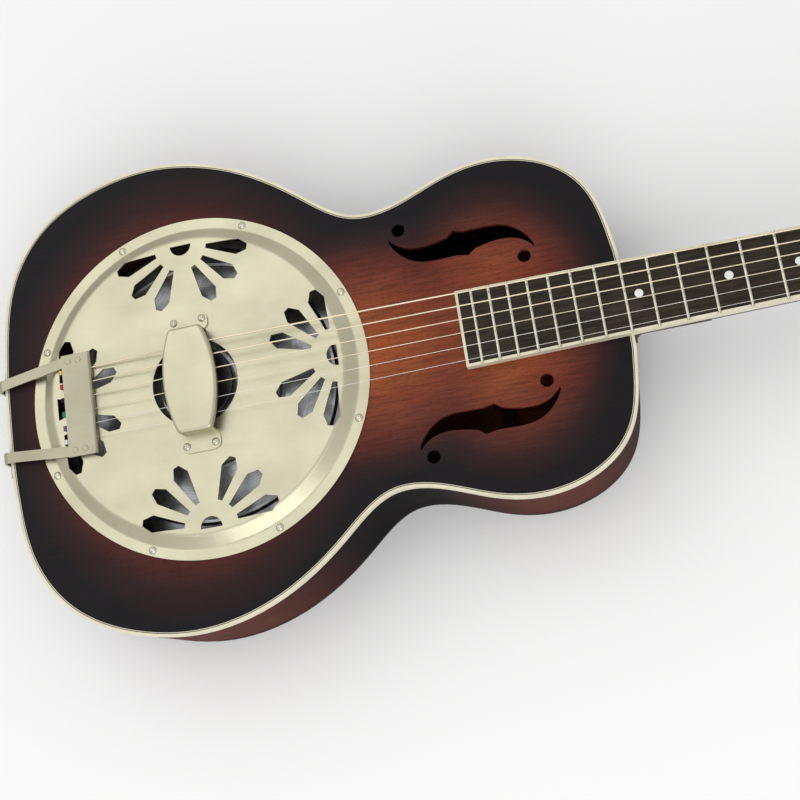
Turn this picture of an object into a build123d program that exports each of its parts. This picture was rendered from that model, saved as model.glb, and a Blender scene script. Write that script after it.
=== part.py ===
from build123d import *

import os
from math import cos, pi, radians, sin

# Resonator guitar, millimetres.  X runs from the bass side to the treble side, Y from the tail
# to the head, Z up through the soundboard.  The origin is on the flat back, under the middle
# of the resonator cone.

# ---- strings and scale
SCALE = 635.0
COMPENSATION = 2.0
NUT_Y = SCALE - COMPENSATION
FRET_COUNT = 19
# first (thinnest, treble side) to sixth (thickest, bass side)
STRING_RADII = (0.152, 0.203, 0.305, 0.406, 0.533, 0.673)
STRINGS = range(len(STRING_RADII))
NUT_HALF_SPAN = 18.95
SADDLE_HALF_SPAN = 27.4
TAIL_HALF_SPAN = 26.7

# ---- body
DEPTH = 90.0
BACK = 3.0
TOP = 3.5
TOP_UNDER = DEPTH - TOP
SIDE = 3.0
TAIL_Y = -152.6
JOINT_Y = 316.6
# the treble edge between the short flats at the tail and at the neck
OUTLINE = (
    (14, TAIL_Y), (62, -150.2), (109, -140.8), (150.3, -111.7), (173.5, -66), (180, -22),
    (166.9, 38.3), (131.8, 93.3), (105.2, 134), (106.5, 160), (121.6, 203.3), (126.4, 235),
    (117.8, 273.3), (82, 307.5), (42, 315.6), (14, JOINT_Y),
)
BINDING_WIDTH = 2.2
BINDING_DEPTH = 6.0
PURFLING_WIDTH = 1.0
PURFLING_DEPTH = 1.5
PURFLING_INSET = BINDING_WIDTH + PURFLING_WIDTH
LINING_WIDTH = 6.0
LINING_DEPTH = 12.0
LINING_INSET = SIDE + LINING_WIDTH
BLOCK_HALF = 42.0
NECK_BLOCK_Y = 276.0
TAIL_BLOCK_Y = -134.5
BRACE_HEIGHT = 9.0
BRACE_WIDTH = 8.0
TOP_BRACES = (150.0, 268.0)
BACK_BRACES = (-60.0, 60.0, 215.0)

# ---- f-holes, treble side: a slot and two round holes about its middle
F_CENTRE = (66.2, 207.9)
F_OUTER = ((-11.7, 52.1), (-1.2, 45.6), (6.8, 34.1), (9.0, 17.1), (8.8, 3.5))
F_NICK = (10.4, -4.4)
F_INNER = ((6.3, -9.9), (3.5, -25.0), (3.9, -36.0), (13.8, -51.9))
F_DOT = (-19.5, 43.6)
F_DOT_RADIUS = 4.8

# ---- soundwell and cone
WELL_RADIUS = 122.6
WELL_OUTER = 133.0
LEDGE_RADIUS = 112.0
LEDGE_TOP = 65.0
LEDGE_DEPTH = 7.0
POST_RADIUS = 7.0
POST_CIRCLE = 122.5
POST_COUNT = 8
CONE_SHEET = 0.6
CONE_RADIUS = 120.3
CONE_PEAK = 87.4
BISCUIT_RADIUS = 28.0
BISCUIT_LOW = CONE_PEAK + CONE_SHEET
BISCUIT_HIGH = BISCUIT_LOW + 7.0
SADDLE_FLOOR = BISCUIT_HIGH - 3.0
SADDLE_THICK = 3.0
SADDLE_HALF = 31.0
STRING_AT_SADDLE = DEPTH + 16.2
BISCUIT_SCREW_RADIUS = 1.5

# ---- coverplate
SHEET = 1.2
PLATE_RADIUS = 129.3
STEP_OUTER = 121.0
STEP_INNER = 112.0
FLAT_RADIUS = 62.0
FLANGE_TOP = DEPTH + SHEET
SHOULDER_TOP = DEPTH + 7.2
PLATE_TOP = DEPTH + 8.2
PLATE_HOLE = 32.7
PLATE_SCREW_CIRCLE = 125.1
PLATE_SCREWS = 8
PLATE_SCREW_START = 22.5
FAN_CIRCLE = 108.0
FAN_COUNT = 4
FAN_EYE = 8.2
PETAL_ANGLES = (24.3, 50.5, 76.8)
PETAL = ((20.3, 3.5), (45.0, 12.5), (52.5, 4.5))

# ---- hand rest
REST_LENGTH = 79.0
REST_MIDDLE = 40.5
REST_END = 24.8
REST_TOP = DEPTH + 21.8
REST_SHEET = 1.4
REST_SKIRT = 4.2
REST_ROUND = 2.6
REST_CORNER = 4.0
FOOT_LENGTH = 12.8
FOOT_WIDTH = 30.0
FOOT_ROUND = 6.0
FOOT_SCREW = (47.2, 10.9)

# ---- tailpiece and its hinge
TAILPIECE_HALF = 39.0
TAILPIECE_FRONT = -77.5
TAILPIECE_BACK = -100.0
TAILPIECE_TOP = DEPTH + 12.6
TAILPIECE_SHEET = 1.6
TAILPIECE_UNDER = TAILPIECE_TOP - TAILPIECE_SHEET
FRONT_LIP = DEPTH + 8.8
REAR_LIP = DEPTH + 8.3
REAR_LIP_HALF = 29.3
SLOT_TOP = TAILPIECE_UNDER - 0.4
LIP_PLAY = 0.25
BALL_RADIUS = 1.9
BALL_LENGTH = 3.4
BALL_Y = TAILPIECE_BACK - BALL_RADIUS - 0.05
BALL_Z = DEPTH + 9.7
ARM_WIDTH = 8.0
ARM_THICK = 2.0
ARM_X = 34.0
ARM_TAIL_X = 28.0
ARM_FRONT = -83.0
ARM_BEND = -101.0
ARM_FACE_Y = -156.3
ARM_EDGE_Z = DEPTH + 3.2
RIVETS = ((ARM_X, -87.0), (ARM_X, -95.0))
RIVET_RADIUS = 1.6
HINGE_Y = -158.0
HINGE_Z = 72.0
PIN_RADIUS = 1.5
PIN_PLAY = 0.05
EYE_RADIUS = 3.2
BRACKET_HALF = 38.5
BRACKET_LOW = 38.0
BRACKET_HIGH = 68.0
BRACKET_FACE_Y = -154.4
KNUCKLES = (ARM_TAIL_X - 7.5, ARM_TAIL_X + 7.5)
KNUCKLE_WIDTH = 6.0
STRAP_Z = 53.0
BUTTON_PROFILE = (
    (0, 0), (0, 5.5), (1.5, 5.0), (4.5, 3.6), (9.0, 3.6), (10.5, 6.6), (12.0, 7.0), (13.4, 6.0),
    (14.0, 3.5), (14.0, 0),
)
WOOD_SCREW_RADIUS = 1.4
BRACKET_SCREWS = ((-28.0, 46.0), (-14.0, 46.0), (14.0, 46.0), (28.0, 46.0))

# ---- neck
NUT_WIDTH = 44.45
TAPER = 0.028
BOARD = 7.6
BOARD_TOP = DEPTH + BOARD
BOARD_END = 198.4
BOARD_BINDING = 2.0
NUT_THICK = 5.5
NUT_TOP = BOARD_TOP + 1.5
STRING_AT_NUT = BOARD_TOP + 1.3
FRET_WIDTH = 2.4
FRET_HEIGHT = 1.15
TANG_WIDTH = 0.6
TANG_DEPTH = 1.8
DOT_FRETS = (3, 5, 7, 9, 12)
DOT_RADIUS = 3.0
SIDE_DOT_RADIUS = 1.0
DOT_DEPTH = 1.5
ROD_WIDTH = 6.0
ROD_DEPTH = 9.0
NECK_BOLT_Z = (35.0, 60.0)
NECK_BOLT_RADIUS = 3.0
BOLT_REACH = JOINT_Y - NECK_BLOCK_Y + 4
SHAFT_LOW = 370.0
HEEL_NECK = 18.6
NUT_NECK = 14.6
NECK_FULL = 0.9
HEEL_TOE = 321.0
HEEL_WAIST = (336.5, 56.0)
HEEL_FRONT = ((26.6, DEPTH), (24.4, 80.0), (18.0, 66.0), (13.0, 40.0), (11.0, 8.0))
HEEL_FLAT = 8.0

# ---- headstock, laid out on its own tilted face: x across, s along from the nut, n out
HEAD_ANGLE = 14.0
HEAD_THICK = 15.0
VENEER = 1.5
HEAD_ORIGIN = (0, NUT_Y + NUT_THICK, DEPTH + 1.5)
HEAD_NORMAL = (0, sin(radians(HEAD_ANGLE)), cos(radians(HEAD_ANGLE)))
HEAD = Plane(origin=HEAD_ORIGIN, x_dir=(1, 0, 0), z_dir=HEAD_NORMAL)
HEAD_SIDE = ((23.0, -6.0), (25.5, 6.0), (32.0, 20.0), (34.0, 60.0), (37.0, 160.0))
HEAD_CROWN = 168.0
COVER_PLATE = ((9.0, 4.0), (6.0, 34.0))
COVER_PLATE_THICK = 1.6
COVER_SCREWS = (8.0, 30.0)

# ---- tuning machines, worm and wheel on a plate behind the headstock
TUNER_X = 21.0
TUNER_S = (38.0, 78.0, 118.0)
POST_R = 3.0
POST_PLAY = 0.05
POST_TOP = 12.0
BUSHING_R = 4.6
BUSHING_FLANGE = 6.2
BUSHING_FLANGE_THICK = 1.2
PLATE_THICK = 1.2
PLATE_WIDTH = 15.0
PLATE_LONG = 32.0
PLATE_LEAD = 3.0
TEETH = 15
WHEEL_R = 4.8
ADDENDUM = 0.45
DEDENDUM = 0.55
PITCH = 2 * pi * WHEEL_R / TEETH
TOOTH_TIP = 0.34
TOOTH_ROOT = 0.92
THREAD_ROOT = 0.2
WHEEL_THICK = 2.4
WHEEL_GAP = 1.5
WHEEL_TOP = -HEAD_THICK - PLATE_THICK - WHEEL_GAP
WHEEL_MID = WHEEL_TOP - WHEEL_THICK / 2
WORM_R = 2.0
WORM_CORE = WORM_R - DEDENDUM
WORM_TURNS = 3
WORM_SIDE = WHEEL_R + WORM_R
SHAFT_R = 1.25
LUG_X = 5.2
LUG_THICK = 1.4
LUG_R = 2.6
SHAFT_OUT = 20.5
BUTTON_LONG = 18.0
BUTTON_WIDE = 15.0
BUTTON_THICK = 6.5
BUTTON_GRIP = 3.0
BUTTON_ROUND = 2.4
COLLAR_R = 3.2
COLLAR_LONG = 5.0
COLLAR_START = SHAFT_OUT - 4.5
TUNER_SCREW_S = (-9.5, 16.5)
SMALL_SCREW_R = 1.1
WIND_PLAY = 0.1
WIND_LOW = 4.0
WIND_TURNS = 3


# ======================================================================= shared shapes

def body_outline(height, inset):
    """The body's outline at a height, drawn in by a distance."""
    ends = ((1, 0), (-1, 0))
    edge = Spline(*OUTLINE, tangents=ends)
    points = []
    for x, y in OUTLINE:
        along = edge.tangent_at(edge.param_at_point(Vector(x, y)))
        points.append((x - inset * along.Y, y + inset * along.X))
    (tail_x, tail_y), (neck_x, neck_y) = points[0], points[-1]
    with BuildSketch(Plane.XY.offset(height)) as face:
        with BuildLine():
            Spline(*points, tangents=ends)
            mirror(about=Plane.YZ)
            Line((-tail_x, tail_y), (tail_x, tail_y))
            Line((-neck_x, neck_y), (neck_x, neck_y))
        make_face()
    return face.sketch


def board_half_width(y):
    """Half the fretboard's width at a distance along the neck."""
    return (NUT_WIDTH + TAPER * (NUT_Y - y)) / 2


def fret_y(number):
    """The place of a fret."""
    return SCALE * 2 ** (-number / 12) - COMPENSATION


def fret_space_y(number):
    """The middle of the space behind a fret."""
    return (fret_y(number) + fret_y(number - 1)) / 2


def string_x(index, half_span):
    """Where a string crosses a line whose outer strings are half_span from the middle."""
    last = len(STRING_RADII) - 1
    return half_span * (1 - 2 * index / last)


def tuner_place(index):
    """A tuner's x and s on the headstock, and +1 on the treble side or -1 on the bass side."""
    side = 1 if index < 3 else -1
    row = index if index < 3 else 5 - index
    return side * TUNER_X, TUNER_S[row], side


def head_plane(x, s, n=0.0, z_dir=None):
    """A plane on the headstock's face at x and s, n above it."""
    origin = HEAD.from_local_coords(Vector(x, s, n))
    return Plane(origin=origin, x_dir=HEAD.x_dir, z_dir=z_dir or HEAD.z_dir)


def tuner_planes(n=0.0):
    """The six posts' places, n above the headstock's face."""
    return [head_plane(*tuner_place(index)[:2], n) for index in STRINGS]


def board_outline(height, inset):
    """The fretboard's outline at a height, drawn in by a distance on three sides."""
    low = BOARD_END + inset
    with BuildSketch(Plane.XY.offset(height)) as face:
        Polygon(
            (-board_half_width(low) + inset, low), (board_half_width(low) - inset, low),
            (board_half_width(NUT_Y) - inset, NUT_Y), (-board_half_width(NUT_Y) + inset, NUT_Y),
            align=None,
        )
    return face.sketch


def tail_drill(places, radius, depth):
    """Cut holes straight into the tail at the given x and z."""
    for x, z in places:
        with BuildSketch(Plane((x, BRACKET_FACE_Y, z), x_dir=(1, 0, 0), z_dir=(0, 1, 0))) as mouth:
            Circle(radius)
        extrude(mouth.sketch, amount=depth, mode=Mode.SUBTRACT)


def f_hole():
    """One side's sound hole: the slot with its nicks, and the round hole at each end."""
    with BuildSketch() as hole:
        with BuildLine() as edge:
            Spline(*F_OUTER)
            Polyline(F_OUTER[-1], F_NICK, F_INNER[0])
            Spline(*F_INNER)
            Line(F_INNER[-1], (-F_OUTER[0][0], -F_OUTER[0][1]))
            add(edge.line, rotation=180)
        make_face()
        with Locations(F_DOT, (-F_DOT[0], -F_DOT[1])):
            Circle(F_DOT_RADIUS)
    return hole.sketch


def fan():
    """One fan of the coverplate about its own middle, with +X pointing at the rim."""
    with BuildSketch() as shape:
        Circle(FAN_EYE)
        Rectangle(FAN_EYE, 2 * FAN_EYE, align=(Align.MIN, Align.CENTER), mode=Mode.SUBTRACT)
        for angle in PETAL_ANGLES:
            near = [(-r, w / 2) for r, w in PETAL]
            far = [(-r, -w / 2) for r, w in reversed(PETAL)]
            for side in (-1, 1):
                Polygon(*near, *far, rotation=side * angle, align=None)
    return shape.sketch


def plate_screw_places():
    """The coverplate screws' circle."""
    return PolarLocations(PLATE_SCREW_CIRCLE, PLATE_SCREWS, start_angle=PLATE_SCREW_START)


def rest_screw_places():
    """The hand rest's four screws."""
    x, y = FOOT_SCREW
    return Locations((x, y), (x, -y), (-x, y), (-x, -y))


def round_head_screw(radius, height, shank, length):
    """A domed screw with a cross recess, its head standing on the plane and its shank below."""
    with BuildPart() as screw:
        with BuildSketch(Plane.XZ):
            with BuildLine():
                ThreePointArc((radius, 0), (radius * 0.72, height * 0.72), (0, height))
                Polyline((0, height), (0, 0), (radius, 0))
            make_face()
        revolve(axis=Axis.Z)
        with Locations((0, 0, height)):
            Box(radius * 1.1, radius * 0.24, height, mode=Mode.SUBTRACT)
            Box(radius * 0.24, radius * 1.1, height, mode=Mode.SUBTRACT)
        with Locations((0, 0, 0)):
            Cylinder(shank, length, align=(Align.CENTER, Align.CENTER, Align.MAX))
    return screw.part


# ======================================================================= body

def make_soundboard():
    with BuildPart() as soundboard:
        extrude(body_outline(TOP_UNDER, BINDING_WIDTH), amount=TOP - PURFLING_DEPTH)
        extrude(body_outline(TOP_UNDER, PURFLING_INSET), amount=TOP)
        with BuildSketch(Plane.XY.offset(TOP_UNDER)):
            Circle(WELL_RADIUS)
            with Locations(F_CENTRE):
                add(f_hole())
            mirror(about=Plane.YZ)
        extrude(amount=TOP, mode=Mode.SUBTRACT)
        with BuildSketch(Plane.XY.offset(TOP_UNDER)):
            with plate_screw_places():
                Circle(WOOD_SCREW_RADIUS)
        extrude(amount=TOP, mode=Mode.SUBTRACT)
    soundboard.part.label = "soundboard"
    export_step(soundboard.part, "parts/soundboard.step")


def make_trim():
    with BuildPart() as binding:
        low = DEPTH - BINDING_DEPTH
        extrude(body_outline(low, 0), amount=BINDING_DEPTH)
        extrude(body_outline(low, BINDING_WIDTH), amount=BINDING_DEPTH, mode=Mode.SUBTRACT)
    binding.part.label = "top_binding"
    export_step(binding.part, "parts/top_binding.step")

    with BuildPart() as purfling:
        low = DEPTH - PURFLING_DEPTH
        extrude(body_outline(low, BINDING_WIDTH), amount=PURFLING_DEPTH)
        extrude(body_outline(low, PURFLING_INSET), amount=PURFLING_DEPTH, mode=Mode.SUBTRACT)
    purfling.part.label = "top_purfling"
    export_step(purfling.part, "parts/top_purfling.step")


def make_back():
    with BuildPart() as back_plate:
        extrude(body_outline(0, 0), amount=BACK)
    back_plate.part.label = "back_plate"
    export_step(back_plate.part, "parts/back_plate.step")


def make_side(side, label):
    """One bent side, from the tail seam to the neck, let in for the binding."""
    height = TOP_UNDER - BACK
    low = DEPTH - BINDING_DEPTH
    with BuildPart() as rib:
        extrude(body_outline(BACK, 0), amount=low - BACK)
        extrude(body_outline(low, BINDING_WIDTH), amount=TOP_UNDER - low)
        extrude(body_outline(BACK, SIDE), amount=height, mode=Mode.SUBTRACT)
        split(bisect_by=Plane.YZ, keep=Keep.TOP if side > 0 else Keep.BOTTOM)
        tail_drill(BRACKET_SCREWS + ((0, STRAP_Z),), WOOD_SCREW_RADIUS, 20)
        with BuildSketch(Plane((0, NECK_BLOCK_Y, 0), x_dir=(1, 0, 0), z_dir=(0, 1, 0))):
            with Locations(*[(0, z) for z in bolt_rows()]):
                Circle(NECK_BOLT_RADIUS)
        extrude(amount=60, mode=Mode.SUBTRACT)
    rib.part.label = label
    export_step(rib.part, f"parts/{label}.step")


def bolt_rows():
    """The neck bolts' heights on a plane whose Y runs down."""
    return [-z for z in NECK_BOLT_Z]


def make_blocks():
    height = TOP_UNDER - BACK
    with BuildPart() as neck_block:
        extrude(body_outline(BACK, SIDE), amount=height)
        with BuildSketch(Plane.XY.offset(BACK)):
            with Locations((0, NECK_BLOCK_Y)):
                Rectangle(2 * BLOCK_HALF, 60, align=(Align.CENTER, Align.MIN))
        extrude(amount=height, mode=Mode.INTERSECT)
        with BuildSketch(Plane((0, NECK_BLOCK_Y, 0), x_dir=(1, 0, 0), z_dir=(0, 1, 0))):
            with Locations(*[(0, z) for z in bolt_rows()]):
                Circle(NECK_BOLT_RADIUS)
        extrude(amount=60, mode=Mode.SUBTRACT)
    neck_block.part.label = "neck_block"
    export_step(neck_block.part, "parts/neck_block.step")

    with BuildPart() as tail_block:
        extrude(body_outline(BACK, SIDE), amount=height)
        with BuildSketch(Plane.XY.offset(BACK)):
            with Locations((0, TAIL_BLOCK_Y)):
                Rectangle(2 * BLOCK_HALF, 60, align=(Align.CENTER, Align.MAX))
        extrude(amount=height, mode=Mode.INTERSECT)
        tail_drill([(x, z) for x, z in BRACKET_SCREWS + ((0, STRAP_Z),)], WOOD_SCREW_RADIUS, 16)
    tail_block.part.label = "tail_block"
    export_step(tail_block.part, "parts/tail_block.step")

    with BuildPart() as linings:
        for low in (BACK, TOP_UNDER - LINING_DEPTH):
            extrude(body_outline(low, SIDE), amount=LINING_DEPTH)
            extrude(body_outline(low, LINING_INSET), amount=LINING_DEPTH, mode=Mode.SUBTRACT)
        with Locations((0, NECK_BLOCK_Y, 0)):
            Box(2 * BLOCK_HALF, 60, DEPTH, align=(Align.CENTER, Align.MIN, Align.MIN),
                mode=Mode.SUBTRACT)
        with Locations((0, TAIL_BLOCK_Y, 0)):
            Box(2 * BLOCK_HALF, 60, DEPTH, align=(Align.CENTER, Align.MAX, Align.MIN),
                mode=Mode.SUBTRACT)
    linings.part.label = "kerfed_linings"
    export_step(linings.part, "parts/kerfed_linings.step")


def make_braces(label, rows, low):
    """Cross braces between the linings, glued to the top or the back."""
    with BuildPart() as braces:
        extrude(body_outline(low, LINING_INSET), amount=BRACE_HEIGHT)
        with BuildSketch(Plane.XY.offset(low)):
            with Locations(*[(0, y) for y in rows]):
                Rectangle(400, BRACE_WIDTH)
        extrude(amount=BRACE_HEIGHT, mode=Mode.INTERSECT)
    braces.part.label = label
    export_step(braces.part, f"parts/{label}.step")


def make_soundwell():
    with BuildPart() as soundwell:
        with BuildSketch(Plane.XZ):
            with BuildLine():
                low = LEDGE_TOP - LEDGE_DEPTH
                Polyline(
                    (LEDGE_RADIUS, low), (WELL_OUTER, low), (WELL_OUTER, TOP_UNDER),
                    (WELL_RADIUS, TOP_UNDER), (WELL_RADIUS, LEDGE_TOP), (LEDGE_RADIUS, LEDGE_TOP),
                    close=True,
                )
            make_face()
        revolve(axis=Axis.Z)
        with BuildSketch(Plane.XY.offset(TOP_UNDER)):
            with plate_screw_places():
                Circle(WOOD_SCREW_RADIUS)
        extrude(amount=-12, mode=Mode.SUBTRACT)
    soundwell.part.label = "soundwell"
    export_step(soundwell.part, "parts/soundwell.step")

    with BuildPart() as posts:
        with BuildSketch(Plane.XY.offset(BACK)):
            with PolarLocations(POST_CIRCLE, POST_COUNT):
                Circle(POST_RADIUS)
        extrude(amount=LEDGE_TOP - LEDGE_DEPTH - BACK)
    posts.part.label = "soundwell_posts"
    export_step(posts.part, "parts/soundwell_posts.step")


# ======================================================================= resonator

def make_cone():
    sheet = CONE_SHEET
    under = (
        (0, CONE_PEAK), (BISCUIT_RADIUS + 2, CONE_PEAK), (60, 80.6), (62, 81.4), (64, 79.6),
        (98, 71.4), (100, 72.0), (102, 70.0), (111, 68.2), (114, LEDGE_TOP), (CONE_RADIUS, LEDGE_TOP),
    )
    over = [(r, z + sheet) for r, z in reversed(under)]
    with BuildPart() as cone:
        with BuildSketch(Plane.XZ):
            with BuildLine():
                Polyline(*under, *over, close=True)
            make_face()
        revolve(axis=Axis.Z)
        Cylinder(BISCUIT_SCREW_RADIUS, 3 * DEPTH, mode=Mode.SUBTRACT)
    cone.part.label = "cone"
    export_step(cone.part, "parts/cone.step")


def make_biscuit():
    with BuildPart() as biscuit:
        with Locations((0, 0, BISCUIT_LOW)):
            Cylinder(BISCUIT_RADIUS, BISCUIT_HIGH - BISCUIT_LOW,
                     align=(Align.CENTER, Align.CENTER, Align.MIN))
        fillet(biscuit.edges().group_by(Axis.Z)[-1], radius=1.2)
        with Locations((0, 0, SADDLE_FLOOR)):
            Box(2 * SADDLE_HALF, SADDLE_THICK, 20, align=(Align.CENTER, Align.CENTER, Align.MIN),
                mode=Mode.SUBTRACT)
        with Locations((0, 0, BISCUIT_LOW)):
            Cylinder(BISCUIT_SCREW_RADIUS, SADDLE_FLOOR - BISCUIT_LOW,
                     align=(Align.CENTER, Align.CENTER, Align.MIN), mode=Mode.SUBTRACT)
    biscuit.part.label = "biscuit"
    export_step(biscuit.part, "parts/biscuit.step")

    with BuildPart() as screw:
        with Locations((0, 0, CONE_PEAK)):
            Cylinder(3.4, 1.6, align=(Align.CENTER, Align.CENTER, Align.MAX))
            Cylinder(BISCUIT_SCREW_RADIUS, SADDLE_FLOOR - CONE_PEAK,
                     align=(Align.CENTER, Align.CENTER, Align.MIN))
    screw.part.label = "biscuit_screw"
    export_step(screw.part, "parts/biscuit_screw.step")


def make_saddle():
    """The saddle stands in the biscuit's slot, with a round notch for each string."""
    top = STRING_AT_SADDLE + 0.25
    with BuildPart() as saddle:
        with BuildSketch(Plane.XZ.offset(-SADDLE_THICK / 2)):
            with BuildLine():
                Polyline((-SADDLE_HALF, top - 2.2), (-SADDLE_HALF, SADDLE_FLOOR),
                         (SADDLE_HALF, SADDLE_FLOOR), (SADDLE_HALF, top - 2.2))
                ThreePointArc((SADDLE_HALF, top - 2.2), (0, top), (-SADDLE_HALF, top - 2.2))
            make_face()
        extrude(amount=SADDLE_THICK)
        for index in STRINGS:
            radius = STRING_RADII[index]
            with Locations((string_x(index, SADDLE_HALF_SPAN), 0, saddle_string_z(index))):
                Cylinder(radius, 2 * SADDLE_THICK, rotation=(90, 0, 0), mode=Mode.SUBTRACT)
    saddle.part.label = "saddle"
    export_step(saddle.part, "parts/saddle.step")


def saddle_string_z(index):
    """The height of a string's middle over the saddle."""
    x = string_x(index, SADDLE_HALF_SPAN)
    crown = 1.6 * (x / SADDLE_HALF) ** 2
    return STRING_AT_SADDLE - crown + STRING_RADII[index]


# ======================================================================= hardware on the top

def make_coverplate():
    hole_edge = PLATE_HOLE
    over = (
        (hole_edge, PLATE_TOP), (FLAT_RADIUS, PLATE_TOP), (STEP_INNER, SHOULDER_TOP),
        (STEP_OUTER, FLANGE_TOP), (PLATE_RADIUS, FLANGE_TOP),
    )
    under = [(r, z - SHEET) for r, z in reversed(over)]
    with BuildPart() as coverplate:
        with BuildSketch(Plane.XZ) as section:
            with BuildLine():
                Polyline(*over, *under, close=True)
            make_face()
            shoulder = section.vertices().filter_by(lambda v: abs(v.X - STEP_INNER) < 1)
            fillet(shoulder, radius=5)
            foot = section.vertices().filter_by(lambda v: abs(v.X - STEP_OUTER) < 1)
            fillet(foot, radius=2.5)
        revolve(axis=Axis.Z)
        with BuildSketch(Plane.XY.offset(DEPTH)):
            with PolarLocations(FAN_CIRCLE, FAN_COUNT):
                add(fan())
            with plate_screw_places():
                Circle(WOOD_SCREW_RADIUS)
            with rest_screw_places():
                Circle(WOOD_SCREW_RADIUS)
        extrude(amount=20, mode=Mode.SUBTRACT)
    coverplate.part.label = "coverplate"
    export_step(coverplate.part, "parts/coverplate.step")

    with BuildPart() as screws:
        screw = round_head_screw(3.0, 1.5, WOOD_SCREW_RADIUS, 12)
        with Locations((0, 0, FLANGE_TOP)):
            with plate_screw_places():
                add(screw)
    screws.part.label = "coverplate_screws"
    export_step(screws.part, "parts/coverplate_screws.step")


def barrel(height, inset):
    """The hand rest's outline: straight ends and bowed long sides."""
    x = REST_LENGTH / 2 - inset
    end = REST_END / 2 - inset
    middle = REST_MIDDLE / 2 - inset
    with BuildSketch(Plane.XY.offset(height)) as shape:
        with BuildLine():
            ThreePointArc((-x, end), (0, middle), (x, end))
            Line((x, end), (x, -end))
            ThreePointArc((x, -end), (0, -middle), (-x, -end))
            Line((-x, -end), (-x, end))
        make_face()
        fillet(shape.vertices(), radius=REST_CORNER - inset)
    return shape.sketch


def make_hand_rest():
    skirt = REST_TOP - REST_SKIRT
    wall = REST_LENGTH / 2
    with BuildPart() as rest:
        extrude(barrel(PLATE_TOP, 0), amount=REST_TOP - PLATE_TOP)
        crown = rest.edges().group_by(Axis.Z)[-1]
        fillet(crown, radius=REST_ROUND)
        extrude(barrel(PLATE_TOP, REST_SHEET), amount=REST_TOP - REST_SHEET - PLATE_TOP,
                mode=Mode.SUBTRACT)
        with Locations((0, 0, PLATE_TOP)):
            Box(REST_LENGTH - 2 * REST_SHEET, 2 * REST_MIDDLE, skirt - PLATE_TOP,
                align=(Align.CENTER, Align.CENTER, Align.MIN), mode=Mode.SUBTRACT)
        with BuildSketch(Plane.XY.offset(PLATE_TOP)):
            for side in (-1, 1):
                with Locations((side * (wall - REST_SHEET + FOOT_LENGTH / 2 + 0.7), 0)):
                    RectangleRounded(FOOT_LENGTH + 1.4, FOOT_WIDTH, FOOT_ROUND)
            Rectangle(2 * (wall - REST_SHEET), 2 * REST_MIDDLE, mode=Mode.SUBTRACT)
            with rest_screw_places():
                Circle(WOOD_SCREW_RADIUS, mode=Mode.SUBTRACT)
        extrude(amount=REST_SHEET)
    rest.part.label = "hand_rest"
    export_step(rest.part, "parts/hand_rest.step")

    with BuildPart() as screws:
        screw = round_head_screw(3.0, 1.7, WOOD_SCREW_RADIUS, 6)
        with Locations((0, 0, PLATE_TOP + REST_SHEET)):
            with rest_screw_places():
                add(screw)
    screws.part.label = "hand_rest_screws"
    export_step(screws.part, "parts/hand_rest_screws.step")


# ======================================================================= tailpiece

def make_tailpiece():
    """The string anchor: a plate whose front and rear edges turn down, slotted for the strings."""
    front, back = TAILPIECE_FRONT, TAILPIECE_BACK
    with BuildPart() as anchor:
        with BuildSketch(Plane.YZ) as profile:
            with BuildLine():
                Polyline(
                    (back, TAILPIECE_UNDER), (back, TAILPIECE_TOP), (front, TAILPIECE_TOP),
                    (front, FRONT_LIP), (front - TAILPIECE_SHEET, FRONT_LIP),
                    (front - TAILPIECE_SHEET, TAILPIECE_UNDER), close=True,
                )
            make_face()
            outer = profile.vertices().sort_by(lambda v: v.X + v.Y)[-1]
            fillet(outer, radius=2.4)
        extrude(amount=TAILPIECE_HALF, both=True)
        with Locations((0, back, REAR_LIP)):
            Box(2 * REAR_LIP_HALF, TAILPIECE_SHEET, TAILPIECE_UNDER - REAR_LIP,
                align=(Align.CENTER, Align.MIN, Align.MIN))
        for index in STRINGS:
            x = string_x(index, TAIL_HALF_SPAN)
            width = 2 * STRING_RADII[index] + 0.5
            middle = (front + back) / 2
            with Locations((x, middle, SLOT_TOP)):
                Box(width, front - back + 2, 10, align=(Align.CENTER, Align.CENTER, Align.MAX),
                    mode=Mode.SUBTRACT)
        with BuildSketch(Plane.XY.offset(TAILPIECE_UNDER)):
            with Locations(*RIVETS, *[(-x, y) for x, y in RIVETS]):
                Circle(RIVET_RADIUS)
        extrude(amount=TAILPIECE_SHEET, mode=Mode.SUBTRACT)
    anchor.part.label = "string_anchor"
    export_step(anchor.part, "parts/string_anchor.step")


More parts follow.
